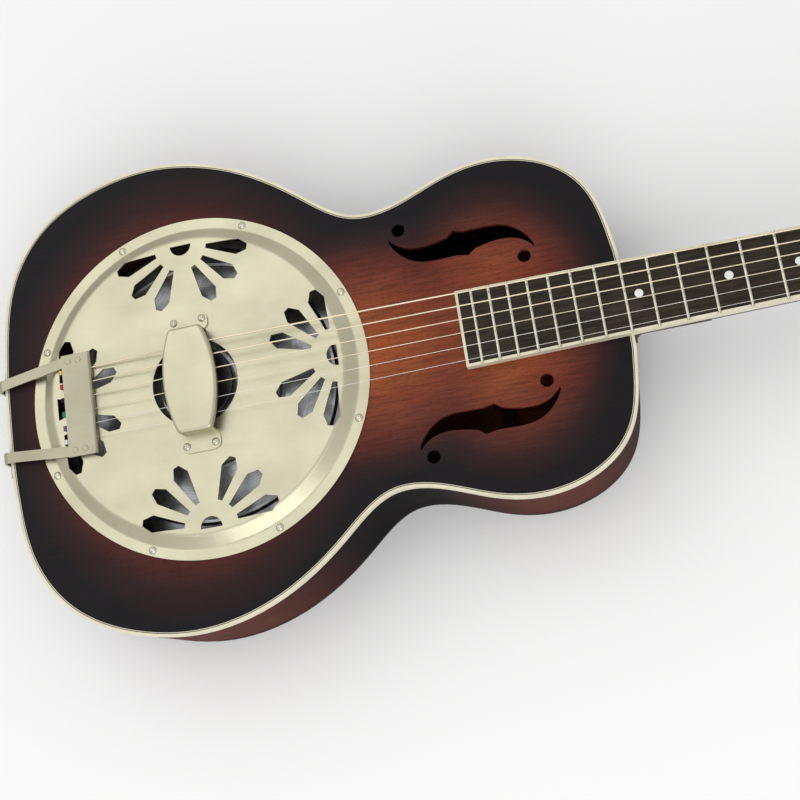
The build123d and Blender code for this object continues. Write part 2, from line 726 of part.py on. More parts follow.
def make_tailpiece_arms():
    """Two flat bars that bend down over the tail and end in hinge eyes."""
    level = TAILPIECE_UNDER - ARM_THICK / 2
    half = ARM_WIDTH / 2
    low = HINGE_Z - 2 * EYE_RADIUS
    with BuildPart() as arms:
        with BuildSketch(Plane.YZ):
            with BuildLine():
                bar = FilletPolyline(
                    (ARM_FRONT, level), (ARM_BEND, level), (ARM_FACE_Y, ARM_EDGE_Z),
                    (ARM_FACE_Y, HINGE_Z), radius=5,
                )
            trace(bar, line_width=ARM_THICK)
            with Locations((HINGE_Y, HINGE_Z)):
                Circle(EYE_RADIUS)
        extrude(amount=ARM_X + ARM_WIDTH, both=True)
        with BuildSketch(Plane.XY.offset(low)):
            with BuildLine():
                Polyline(
                    (ARM_X - half, ARM_FRONT), (ARM_X + half, ARM_FRONT), (ARM_X + half, ARM_BEND),
                    (ARM_TAIL_X + half, ARM_FACE_Y + 4), (ARM_TAIL_X + half, HINGE_Y - 10),
                    (ARM_TAIL_X - half, HINGE_Y - 10), (ARM_TAIL_X - half, ARM_FACE_Y + 4),
                    (ARM_X - half, ARM_BEND), close=True,
                )
            make_face()
            mirror(about=Plane.YZ)
        extrude(amount=DEPTH, mode=Mode.INTERSECT)
        with BuildSketch(Plane.YZ):
            with Locations((HINGE_Y, HINGE_Z)):
                Circle(PIN_RADIUS + PIN_PLAY)
        extrude(amount=2 * ARM_X, both=True, mode=Mode.SUBTRACT)
        with BuildSketch(Plane.XY.offset(TAILPIECE_UNDER)):
            with Locations(*RIVETS, *[(-x, y) for x, y in RIVETS]):
                Circle(RIVET_RADIUS)
        extrude(amount=-ARM_THICK, mode=Mode.SUBTRACT)
    arms.part.label = "tailpiece_arms"
    export_step(arms.part, "parts/tailpiece_arms.step")

    with BuildPart() as rivets:
        shank = TAILPIECE_SHEET + ARM_THICK
        with BuildSketch(Plane.XY.offset(TAILPIECE_TOP)):
            with Locations(*RIVETS, *[(-x, y) for x, y in RIVETS]):
                Circle(RIVET_RADIUS)
        extrude(amount=-shank)
        with BuildSketch(Plane.XY.offset(TAILPIECE_TOP)):
            with Locations(*RIVETS, *[(-x, y) for x, y in RIVETS]):
                Circle(2.3)
        extrude(amount=0.5)
        chamfer(rivets.edges().group_by(Axis.Z)[-1], length=0.3)
    rivets.part.label = "tailpiece_rivets"
    export_step(rivets.part, "parts/tailpiece_rivets.step")

    with BuildPart() as balls:
        for index in STRINGS:
            with Locations((string_x(index, TAIL_HALF_SPAN), BALL_Y, BALL_Z)):
                Cylinder(BALL_RADIUS, BALL_LENGTH, rotation=(0, 90, 0))
                Cylinder(0.8, BALL_LENGTH, rotation=(0, 90, 0), mode=Mode.SUBTRACT)
    balls.part.label = "ball_ends"
    export_step(balls.part, "parts/ball_ends.step")


def make_tail_bracket():
    """The hinge's fixed half: a plate fitted to the tail with four knuckles along its top."""
    with BuildPart() as bracket:
        with BuildSketch(Plane((0, BRACKET_FACE_Y, 0), x_dir=(1, 0, 0), z_dir=(0, -1, 0))):
            with BuildLine():
                Polyline(
                    (-BRACKET_HALF, BRACKET_HIGH), (-BRACKET_HALF, STRAP_Z - 8),
                    (-BRACKET_HALF + 8, BRACKET_LOW), (BRACKET_HALF - 8, BRACKET_LOW),
                    (BRACKET_HALF, STRAP_Z - 8), (BRACKET_HALF, BRACKET_HIGH), close=True,
                )
            make_face()
        extrude(amount=-6)
        for x in KNUCKLES:
            for side in (-1, 1):
                with BuildSketch(Plane.YZ.offset(side * x)):
                    with BuildLine():
                        Polyline(
                            (BRACKET_FACE_Y + 3, BRACKET_HIGH - 8), (BRACKET_FACE_Y, BRACKET_HIGH - 8),
                            (HINGE_Y - EYE_RADIUS, HINGE_Z), (HINGE_Y, HINGE_Z + EYE_RADIUS),
                            (BRACKET_FACE_Y + 3, HINGE_Z + EYE_RADIUS), close=True,
                        )
                    make_face()
                    with Locations((HINGE_Y, HINGE_Z)):
                        Circle(EYE_RADIUS)
                extrude(amount=KNUCKLE_WIDTH / 2, both=True)
        extrude(body_outline(0, 0), amount=DEPTH, mode=Mode.SUBTRACT)
        with BuildSketch(Plane.YZ):
            with Locations((HINGE_Y, HINGE_Z)):
                Circle(PIN_RADIUS)
        extrude(amount=2 * ARM_X, both=True, mode=Mode.SUBTRACT)
        tail_drill(BRACKET_SCREWS + ((0, STRAP_Z),), WOOD_SCREW_RADIUS, 16)
    bracket.part.label = "tail_bracket"
    export_step(bracket.part, "parts/tail_bracket.step")

    reach = KNUCKLES[1] + KNUCKLE_WIDTH / 2 + 1
    with BuildPart() as pin:
        with Locations((0, HINGE_Y, HINGE_Z)):
            Cylinder(PIN_RADIUS, 2 * reach, rotation=(0, 90, 0))
    pin.part.label = "hinge_pin"
    export_step(pin.part, "parts/hinge_pin.step")

    with BuildPart() as screws:
        screw = round_head_screw(3.0, 1.5, WOOD_SCREW_RADIUS, 14)
        for x, z in BRACKET_SCREWS:
            seat = Plane((x, BRACKET_FACE_Y, z), x_dir=(1, 0, 0), z_dir=(0, -1, 0))
            add(seat.location * screw)
    screws.part.label = "tail_bracket_screws"
    export_step(screws.part, "parts/tail_bracket_screws.step")

    with BuildPart() as button:
        with BuildSketch(Plane.YZ):
            with BuildLine():
                Polyline(*[(BRACKET_FACE_Y - out, STRAP_Z + r) for out, r in BUTTON_PROFILE],
                         close=True)
            make_face()
        revolve(axis=Axis((0, 0, STRAP_Z), (0, 1, 0)))
        with Locations((0, BRACKET_FACE_Y, STRAP_Z)):
            Cylinder(WOOD_SCREW_RADIUS, 16, rotation=(-90, 0, 0),
                     align=(Align.CENTER, Align.CENTER, Align.MIN))
    button.part.label = "strap_button"
    export_step(button.part, "parts/strap_button.step")


# ======================================================================= neck

def heel():
    """The heel: a curved side view cut by a tapering front view."""
    reach = JOINT_Y - 10
    with BuildPart() as block:
        with BuildSketch(Plane.YZ):
            with BuildLine():
                Polyline((HEEL_TOE, HEEL_FLAT), (reach, HEEL_FLAT), (reach, DEPTH),
                         (SHAFT_LOW, DEPTH), (SHAFT_LOW, DEPTH - HEEL_NECK))
                ThreePointArc((SHAFT_LOW, DEPTH - HEEL_NECK), HEEL_WAIST, (HEEL_TOE, HEEL_FLAT))
            make_face()
        extrude(amount=NUT_WIDTH, both=True)
        with BuildSketch(Plane((0, reach, 0), x_dir=(1, 0, 0), z_dir=(0, -1, 0))):
            with BuildLine():
                Spline(*HEEL_FRONT)
                Line(HEEL_FRONT[0], (0, HEEL_FRONT[0][1]))
                Line((0, HEEL_FRONT[-1][1]), HEEL_FRONT[-1])
                mirror(about=Plane.YZ)
            make_face()
        extrude(amount=-NUT_WIDTH * 2, mode=Mode.INTERSECT)
    return block.part


def make_neck():
    with BuildPart() as neck:
        for y, depth in ((SHAFT_LOW - 2, HEEL_NECK), (NUT_Y + NUT_THICK, NUT_NECK)):
            half = board_half_width(y)
            with BuildSketch(Plane((0, y, DEPTH), x_dir=(1, 0, 0), z_dir=(0, 1, 0))):
                with BuildLine():
                    Spline((-half, 0), (-half * NECK_FULL, depth / 2), (0, depth),
                           (half * NECK_FULL, depth / 2), (half, 0))
                    Line((half, 0), (-half, 0))
                make_face()
        loft(ruled=True)
        add(heel())
        extrude(body_outline(0, 0), amount=2 * DEPTH, mode=Mode.SUBTRACT)
        with BuildSketch(HEAD.offset(-VENEER)):
            add(head_outline())
        extrude(amount=VENEER - HEAD_THICK)
        with Locations((0, NUT_Y + NUT_THICK, DEPTH)):
            Box(100, 60, 60, align=(Align.CENTER, Align.MAX, Align.MIN), mode=Mode.SUBTRACT)
        with Locations((0, rod_low(), DEPTH)):
            Box(ROD_WIDTH, NUT_Y - rod_low(), ROD_DEPTH, mode=Mode.SUBTRACT,
                align=(Align.CENTER, Align.MIN, Align.MAX))
        with BuildSketch(Plane((0, NECK_BLOCK_Y, 0), x_dir=(1, 0, 0), z_dir=(0, 1, 0))):
            with Locations(*[(0, z) for z in bolt_rows()]):
                Circle(NECK_BOLT_RADIUS)
        extrude(amount=BOLT_REACH, mode=Mode.SUBTRACT)
        for seat in tuner_planes():
            with BuildSketch(seat):
                Circle(BUSHING_R)
            extrude(amount=-2 * HEAD_THICK, mode=Mode.SUBTRACT)
        for seat in head_screw_planes():
            with BuildSketch(seat):
                Circle(SMALL_SCREW_R)
            extrude(amount=8, mode=Mode.SUBTRACT)
    neck.part.label = "neck"
    export_step(neck.part, "parts/neck.step")


def rod_low():
    """The truss rod's body end."""
    return JOINT_Y + 14


def head_screw_planes():
    """Every small screw's seat on the headstock, each plane pointing into the wood."""
    down = HEAD.z_dir * -1
    seats = [head_plane(0, s, 0, down) for s in COVER_SCREWS]
    for index in STRINGS:
        x, s, _ = tuner_place(index)
        seats += [head_plane(x, s + along, -HEAD_THICK) for along in TUNER_SCREW_S]
    return seats


def head_outline():
    """The headstock's plain tapered outline on its own face."""
    with BuildSketch() as shape:
        with BuildLine():
            Spline(*HEAD_SIDE[:3])
            Spline(*HEAD_SIDE[2:])
            ThreePointArc(HEAD_SIDE[-1], (0, HEAD_CROWN), (-HEAD_SIDE[-1][0], HEAD_SIDE[-1][1]))
            mirrored = [(-x, s) for x, s in HEAD_SIDE]
            Spline(*mirrored[:3])
            Spline(*mirrored[2:])
            Line(HEAD_SIDE[0], mirrored[0])
        make_face()
    return shape.sketch


def make_head_trim():
    with BuildPart() as veneer:
        with BuildSketch(HEAD):
            add(head_outline())
        extrude(amount=-VENEER)
        with Locations((0, NUT_Y + NUT_THICK, 0)):
            Box(100, 60, 3 * DEPTH, align=(Align.CENTER, Align.MAX, Align.CENTER),
                mode=Mode.SUBTRACT)
        for seat in tuner_planes():
            with BuildSketch(seat):
                Circle(BUSHING_R)
            extrude(amount=-VENEER, mode=Mode.SUBTRACT)
        for s in COVER_SCREWS:
            with BuildSketch(head_plane(0, s)):
                Circle(SMALL_SCREW_R)
            extrude(amount=-VENEER, mode=Mode.SUBTRACT)
    veneer.part.label = "headstock_veneer"
    export_step(veneer.part, "parts/headstock_veneer.step")

    with BuildPart() as cover:
        with BuildSketch(HEAD) as plate:
            (wide, low), (narrow, high) = COVER_PLATE
            Polygon((-wide, low), (wide, low), (narrow, high), (-narrow, high), align=None)
            fillet(plate.vertices(), radius=2.5)
            with Locations(*[(0, s) for s in COVER_SCREWS]):
                Circle(SMALL_SCREW_R, mode=Mode.SUBTRACT)
        extrude(amount=COVER_PLATE_THICK)
    cover.part.label = "truss_rod_cover"
    export_step(cover.part, "parts/truss_rod_cover.step")


def make_fretboard():
    with BuildPart() as board:
        extrude(board_outline(DEPTH, BOARD_BINDING), amount=BOARD)
        for number in range(1, FRET_COUNT + 1):
            with Locations((0, fret_y(number), BOARD_TOP)):
                Box(2 * NUT_WIDTH, TANG_WIDTH, TANG_DEPTH, mode=Mode.SUBTRACT,
                    align=(Align.CENTER, Align.CENTER, Align.MAX))
        for number in DOT_FRETS:
            with Locations((0, fret_space_y(number), BOARD_TOP)):
                Cylinder(DOT_RADIUS, DOT_DEPTH, mode=Mode.SUBTRACT,
                         align=(Align.CENTER, Align.CENTER, Align.MAX))
    board.part.label = "fretboard"
    export_step(board.part, "parts/fretboard.step")

    with BuildPart() as binding:
        extrude(board_outline(DEPTH, 0), amount=BOARD)
        extrude(board_outline(DEPTH, BOARD_BINDING), amount=BOARD, mode=Mode.SUBTRACT)
        for number in DOT_FRETS:
            with BuildSketch(side_dot_plane(number)):
                Circle(SIDE_DOT_RADIUS)
            extrude(amount=-2 * SIDE_DOT_RADIUS, mode=Mode.SUBTRACT)
    binding.part.label = "fretboard_binding"
    export_step(binding.part, "parts/fretboard_binding.step")

    with BuildPart() as dots:
        for number in DOT_FRETS:
            with Locations((0, fret_space_y(number), BOARD_TOP)):
                Cylinder(DOT_RADIUS, DOT_DEPTH, align=(Align.CENTER, Align.CENTER, Align.MAX))
            with BuildSketch(side_dot_plane(number)):
                Circle(SIDE_DOT_RADIUS)
            extrude(amount=-SIDE_DOT_RADIUS)
    dots.part.label = "position_dots"
    export_step(dots.part, "parts/position_dots.step")


def side_dot_plane(number):
    """A side dot's seat on the bass edge of the fretboard binding."""
    y = fret_space_y(number)
    return Plane((-board_half_width(y), y, DEPTH + BOARD / 2), x_dir=(0, 1, 0), z_dir=(-1, 0, 0))


def make_frets():
    with BuildPart() as frets:
        for number in range(1, FRET_COUNT + 1):
            y = fret_y(number)
            half = board_half_width(y) - 0.4
            with BuildSketch(Plane.YZ):
                with Locations((y, BOARD_TOP)):
                    Ellipse(FRET_WIDTH / 2, FRET_HEIGHT)
                    Rectangle(2 * FRET_WIDTH, 2 * FRET_HEIGHT, mode=Mode.SUBTRACT,
                              align=(Align.CENTER, Align.MAX))
            extrude(amount=half, both=True)
            with Locations((0, y, BOARD_TOP)):
                Box(2 * (half + 0.4 - BOARD_BINDING), TANG_WIDTH, TANG_DEPTH,
                    align=(Align.CENTER, Align.CENTER, Align.MAX))
    frets.part.label = "frets"
    export_step(frets.part, "parts/frets.step")


def nut_string_z(index):
    """The height of a string's middle over the nut."""
    return STRING_AT_NUT + STRING_RADII[index]


def make_nut():
    with BuildPart() as nut:
        with Locations((0, NUT_Y, DEPTH)):
            Box(NUT_WIDTH, NUT_THICK, NUT_TOP - DEPTH,
                align=(Align.CENTER, Align.MIN, Align.MIN))
        top = nut.edges().group_by(Axis.Z)[-1].filter_by(Axis.Y)
        fillet(top, radius=1.2)
        for index in STRINGS:
            radius = STRING_RADII[index]
            x = string_x(index, NUT_HALF_SPAN)
            with Locations((x, NUT_Y + NUT_THICK / 2, nut_string_z(index))):
                Cylinder(radius, 2 * NUT_THICK, rotation=(90, 0, 0), mode=Mode.SUBTRACT)
                Box(2 * radius, 2 * NUT_THICK, 4, mode=Mode.SUBTRACT,
                    align=(Align.CENTER, Align.CENTER, Align.MIN))
    nut.part.label = "nut"
    export_step(nut.part, "parts/nut.step")


def make_neck_metal():
    with BuildPart() as rod:
        with Locations((0, rod_low(), DEPTH)):
            Box(ROD_WIDTH, NUT_Y - rod_low(), ROD_DEPTH,
                align=(Align.CENTER, Align.MIN, Align.MAX))
    rod.part.label = "truss_rod"
    export_step(rod.part, "parts/truss_rod.step")

    with BuildPart() as bolts:
        for z in NECK_BOLT_Z:
            with Locations((0, NECK_BLOCK_Y, z)):
                Cylinder(NECK_BOLT_RADIUS, BOLT_REACH, rotation=(-90, 0, 0),
                         align=(Align.CENTER, Align.CENTER, Align.MIN))
                Cylinder(2 * NECK_BOLT_RADIUS, NECK_BOLT_RADIUS, rotation=(90, 0, 0),
                         align=(Align.CENTER, Align.CENTER, Align.MIN))
    bolts.part.label = "neck_bolts"
    export_step(bolts.part, "parts/neck_bolts.step")


# ======================================================================= tuning machines

def make_tuner_plates():
    """Each machine's base plate with the two lugs that carry its worm."""
    with BuildPart() as plates:
        for index in STRINGS:
            x, s, _ = tuner_place(index)
            seat = head_plane(x, s, -HEAD_THICK)
            with BuildSketch(seat):
                with Locations((0, PLATE_LEAD)):
                    RectangleRounded(PLATE_WIDTH, PLATE_LONG, 3)
                Circle(POST_R + POST_PLAY, mode=Mode.SUBTRACT)
                with Locations(*[(0, along) for along in TUNER_SCREW_S]):
                    Circle(SMALL_SCREW_R, mode=Mode.SUBTRACT)
            extrude(amount=-PLATE_THICK)
            for lug in (-LUG_X, LUG_X):
                with BuildSketch(worm_plane(index, lug)):
                    Circle(LUG_R)
                    with Locations((0, 0)):
                        Rectangle(-WHEEL_MID - HEAD_THICK - PLATE_THICK, 2 * LUG_R,
                                  align=(Align.MIN, Align.CENTER))
                    Circle(SHAFT_R + POST_PLAY, mode=Mode.SUBTRACT)
                extrude(amount=LUG_THICK / 2, both=True)
    plates.part.label = "tuner_plates"
    export_step(plates.part, "parts/tuner_plates.step")


def worm_plane(index, along):
    """A plane across a worm's axis; its own X points up at the plate, its Z along +X."""
    x, s, _ = tuner_place(index)
    origin = HEAD.from_local_coords(Vector(x + along, s + WORM_SIDE, WHEEL_MID))
    return Plane(origin=origin, x_dir=HEAD.z_dir, z_dir=HEAD.x_dir)


def make_tuner_bushings():
    with BuildPart() as bushings:
        for seat in tuner_planes():
            with BuildSketch(seat):
                RegularPolygon(BUSHING_FLANGE, 6)
            extrude(amount=BUSHING_FLANGE_THICK)
            with BuildSketch(seat):
                Circle(BUSHING_R)
            extrude(amount=-HEAD_THICK)
            with BuildSketch(seat.offset(BUSHING_FLANGE_THICK)):
                Circle(POST_R + POST_PLAY)
            extrude(amount=-2 * HEAD_THICK, mode=Mode.SUBTRACT)
    bushings.part.label = "tuner_bushings"
    export_step(bushings.part, "parts/tuner_bushings.step")


def make_head_screws():
    """The screws of the machine plates and of the truss rod cover."""
    with BuildPart() as screws:
        screw = round_head_screw(2.1, 1.1, SMALL_SCREW_R, 7)
        for s in COVER_SCREWS:
            add(head_plane(0, s, COVER_PLATE_THICK).location * screw)
        for index in STRINGS:
            x, s, _ = tuner_place(index)
            for along in TUNER_SCREW_S:
                down = HEAD.z_dir * -1
                seat = head_plane(x, s + along, -HEAD_THICK - PLATE_THICK, down)
                add(seat.location * screw)
    screws.part.label = "headstock_screws"
    export_step(screws.part, "parts/headstock_screws.step")


def make_tuner_post(index):
    """A string post with its worm wheel and the screw that holds the wheel."""
    x, s, _ = tuner_place(index)
    label = f"tuner_post_{index + 1}"
    root, tip = WHEEL_R - DEDENDUM, WHEEL_R + ADDENDUM
    start = 90 + 180 / TEETH
    with BuildPart() as post:
        with BuildSketch(head_plane(x, s, WHEEL_TOP - WHEEL_THICK)):
            Circle(root)
            for tooth in range(TEETH):
                Polygon(
                    (root - 0.3, -TOOTH_ROOT / 2), (tip, -TOOTH_TIP / 2), (tip, TOOTH_TIP / 2),
                    (root - 0.3, TOOTH_ROOT / 2), rotation=start + 360 * tooth / TEETH, align=None,
                )
        extrude(amount=WHEEL_THICK)
        with BuildSketch(head_plane(x, s, WHEEL_TOP)):
            Circle(POST_R)
        extrude(amount=POST_TOP - WHEEL_TOP)
        rim = post.edges().filter_by(GeomType.CIRCLE).sort_by(Axis(HEAD_ORIGIN, HEAD_NORMAL))[-1]
        fillet(rim, radius=0.8)
        with BuildSketch(head_plane(x, s, WHEEL_TOP - WHEEL_THICK)):
            Circle(2.4)
        extrude(amount=-1.2)
        with BuildSketch(head_plane(x, s, WHEEL_TOP - WHEEL_THICK - 1.2)):
            Rectangle(6, 0.7)
        extrude(amount=0.7, mode=Mode.SUBTRACT)
        hole = Plane(origin=HEAD.from_local_coords(Vector(x, s, POST_TOP - 3.2)),
                     x_dir=HEAD.x_dir, z_dir=HEAD.y_dir)
        with BuildSketch(hole):
            Circle(0.9)
        extrude(amount=2 * POST_R, both=True, mode=Mode.SUBTRACT)
    post.part.label = label
    export_step(post.part, f"parts/{label}.step")


def make_worm(side):
    """The worm and its shaft along Z, with a thread crest over the wheel's middle gap."""
    length = WORM_TURNS * PITCH
    inner, outer = -side * (LUG_X + LUG_THICK), side * SHAFT_OUT
    core = 2 * (LUG_X - LUG_THICK / 2 - POST_PLAY)
    with BuildPart() as worm:
        Cylinder(WORM_CORE, core)
        with BuildLine():
            thread = Helix(PITCH, length, WORM_CORE, center=(0, 0, PITCH / 4 - length / 2))
        with BuildSketch(Plane(origin=thread @ 0, x_dir=(1, 0, 0), z_dir=thread % 0)):
            Polygon((-THREAD_ROOT, -TOOTH_ROOT / 2), (ADDENDUM + DEDENDUM, -TOOTH_TIP / 2),
                    (ADDENDUM + DEDENDUM, TOOTH_TIP / 2), (-THREAD_ROOT, TOOTH_ROOT / 2),
                    align=None)
        sweep(path=thread, is_frenet=True)
        with Locations((0, 0, min(inner, outer))):
            Cylinder(SHAFT_R, abs(outer - inner), align=(Align.CENTER, Align.CENTER, Align.MIN))
    return worm.part


def make_tuner_key(index):
    """A worm on its shaft with the button that turns it."""
    side = tuner_place(index)[2]
    label = f"tuner_key_{index + 1}"
    worm = worm_plane(index, 0).location * make_worm(side)
    with BuildPart() as button:
        middle = side * (SHAFT_OUT - BUTTON_GRIP + BUTTON_LONG / 2)
        face = worm_plane(index, middle)
        flat = Plane(origin=face.origin, x_dir=HEAD.x_dir, z_dir=HEAD.y_dir)
        with BuildSketch(flat):
            Ellipse(BUTTON_LONG / 2, BUTTON_WIDE / 2)
        extrude(amount=BUTTON_THICK / 2, both=True)
        fillet(button.edges(), radius=BUTTON_ROUND)
        with BuildSketch(worm_plane(index, side * COLLAR_START)):
            Circle(COLLAR_R)
        extrude(amount=side * COLLAR_LONG)
        with BuildSketch(worm_plane(index, side * (SHAFT_OUT - 10))):
            Circle(SHAFT_R)
        extrude(amount=side * 10, mode=Mode.SUBTRACT)
    key = Compound(label=label, children=[worm, button.part])
    export_step(key, f"parts/{label}.step")


# ======================================================================= strings

def string_route(index):
    """A string's middle line: ball end, tailpiece lip, saddle, nut, and its post."""
    radius = STRING_RADII[index]
    x, s, side = tuner_place(index)
    tail_x = string_x(index, TAIL_HALF_SPAN)
    nut_x = string_x(index, NUT_HALF_SPAN)
    nut_z = nut_string_z(index)
    lip_y = TAILPIECE_FRONT - TAILPIECE_SHEET
    wind = POST_R + WIND_PLAY + radius
    return [
        (tail_x, BALL_Y + BALL_RADIUS + 0.05, BALL_Z),
        (tail_x, lip_y, SLOT_TOP - radius - LIP_PLAY),
        (string_x(index, SADDLE_HALF_SPAN), 0, saddle_string_z(index)),
        (nut_x, NUT_Y, nut_z),
        (nut_x, NUT_Y + NUT_THICK, nut_z),
        HEAD.from_local_coords(Vector(x - side * wind, s, WIND_LOW + radius)),
    ]


def make_string(index):
    label = f"string_{index + 1}"
    radius = STRING_RADII[index]
    x, s, _ = tuner_place(index)
    route = string_route(index)
    with BuildPart() as string:
        for start, end in zip(route, route[1:]):
            span = Vector(end) - Vector(start)
            with BuildSketch(Plane(origin=start, z_dir=span)):
                Circle(radius)
            extrude(amount=span.length)
        with Locations(*route[1:-1]):
            Sphere(radius)
        with BuildSketch(head_plane(x, s, WIND_LOW)):
            Circle(POST_R + WIND_PLAY + 2 * radius)
            Circle(POST_R + WIND_PLAY, mode=Mode.SUBTRACT)
        extrude(amount=2 * WIND_TURNS * radius)
    string.part.label = label
    export_step(string.part, f"parts/{label}.step")


os.makedirs("parts", exist_ok=True)
make_soundboard()
make_trim()
make_back()
make_side(-1, "side_bass")
make_side(1, "side_treble")
make_blocks()
make_braces("top_braces", TOP_BRACES, TOP_UNDER - BRACE_HEIGHT)
make_braces("back_braces", BACK_BRACES, BACK)
make_soundwell()
make_cone()
make_biscuit()
make_saddle()
make_coverplate()
make_hand_rest()
make_tailpiece()
make_tailpiece_arms()
make_tail_bracket()
make_neck()
make_head_trim()
make_fretboard()
make_frets()
make_nut()
make_neck_metal()
make_tuner_plates()
make_tuner_bushings()
make_head_screws()
for string in STRINGS:
    make_tuner_post(string)
    make_tuner_key(string)
    make_string(string)
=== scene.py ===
from math import cos, pi, radians, sin

import bpy
from mathutils import Matrix, Vector


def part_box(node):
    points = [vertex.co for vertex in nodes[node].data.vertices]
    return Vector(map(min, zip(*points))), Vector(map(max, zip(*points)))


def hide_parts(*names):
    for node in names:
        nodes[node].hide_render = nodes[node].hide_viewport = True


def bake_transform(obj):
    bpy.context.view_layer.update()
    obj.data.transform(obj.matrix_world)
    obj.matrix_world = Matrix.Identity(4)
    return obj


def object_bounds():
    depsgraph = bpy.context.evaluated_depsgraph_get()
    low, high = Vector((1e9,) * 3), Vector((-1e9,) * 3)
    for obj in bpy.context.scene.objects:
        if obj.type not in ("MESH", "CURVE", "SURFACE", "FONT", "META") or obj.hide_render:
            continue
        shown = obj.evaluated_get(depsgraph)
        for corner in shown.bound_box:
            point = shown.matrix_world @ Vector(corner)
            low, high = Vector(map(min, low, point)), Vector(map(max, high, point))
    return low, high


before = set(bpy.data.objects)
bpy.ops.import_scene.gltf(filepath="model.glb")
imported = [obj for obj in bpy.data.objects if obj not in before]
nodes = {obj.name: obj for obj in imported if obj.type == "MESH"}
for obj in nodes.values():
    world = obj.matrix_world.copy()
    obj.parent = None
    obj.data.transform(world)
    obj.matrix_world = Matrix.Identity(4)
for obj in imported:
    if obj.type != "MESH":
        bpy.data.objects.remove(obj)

cad_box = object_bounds()

# ---- camera: where it stands, where it looks and which way is up in its picture
CAMERA_AT = (0.26542, 0.28632, 0.96640)
CAMERA_LOOK = (-0.24562, -0.15253, -0.95729)
CAMERA_RIGHT = (0.14726, 0.97021, -0.19238)
CAMERA_LENS = 57.87
CAMERA_SENSOR = 36
CAMERA_CLIP = 0.01

# ---- the strings' route, in metres
STRING_RADII = (0.000152, 0.000203, 0.000305, 0.000406, 0.000533, 0.000673)
WOUND_FROM = 2
TAIL_HALF_SPAN = 0.0267
SADDLE_HALF_SPAN = 0.0274
NUT_HALF_SPAN = 0.01895
NUT_BACK_Y = 0.6385
HEAD_TILT = radians(14)
HEAD_ORIGIN = Vector((0, 0.6385, 0.0915))
POST_RADIUS = 0.0031
POST_X = 0.021
POST_S = (0.038, 0.078, 0.118)
WIND_LOW = 0.004
WIND_TURNS = 2.5
BALL_HEIGHT = 0.0997
LIP_HEIGHT = 0.10035
LIP_THICKNESS = 0.0016
NUT_SLOT_DEPTH = 0.0002
SADDLE_BELOW_REST = 0.0056
SADDLE_CROWN = 0.0016
SADDLE_HALF_WIDTH = 0.031
STEP_LENGTH = 0.004
STEPS_PER_TURN = 16

# ---- the sunburst's ovals: middle along the neck, half width and half length
LOWER_BURST = (-0.010, 0.200, 0.165)
UPPER_BURST = (0.226, 0.132, 0.098)
WAIST_BURST = (0.120, 0.112, 0.180)
BURST_BLEND = 0.12

# ---- floor and light
FLOOR_HALF = 6.0
FLOOR_GAP = 0.0002
LIGHT_TARGET = (0, 0.05, 0.05)
SKY_STRENGTH = 0.74


def add_camera():
    """The camera, above the body and looking down on it at a slant."""
    right = Vector(CAMERA_RIGHT).normalized()
    back = -Vector(CAMERA_LOOK).normalized()
    up = back.cross(right).normalized()
    right = up.cross(back)
    data = bpy.data.cameras.new("camera")
    data.lens = CAMERA_LENS
    data.sensor_width = CAMERA_SENSOR
    data.clip_start = CAMERA_CLIP
    camera = bpy.data.objects.new("camera", data)
    turn = Matrix((right, up, back)).transposed().to_4x4()
    camera.matrix_world = Matrix.Translation(CAMERA_AT) @ turn
    bpy.context.collection.objects.link(camera)
    bpy.context.scene.camera = camera


# ======================================================================= node helpers

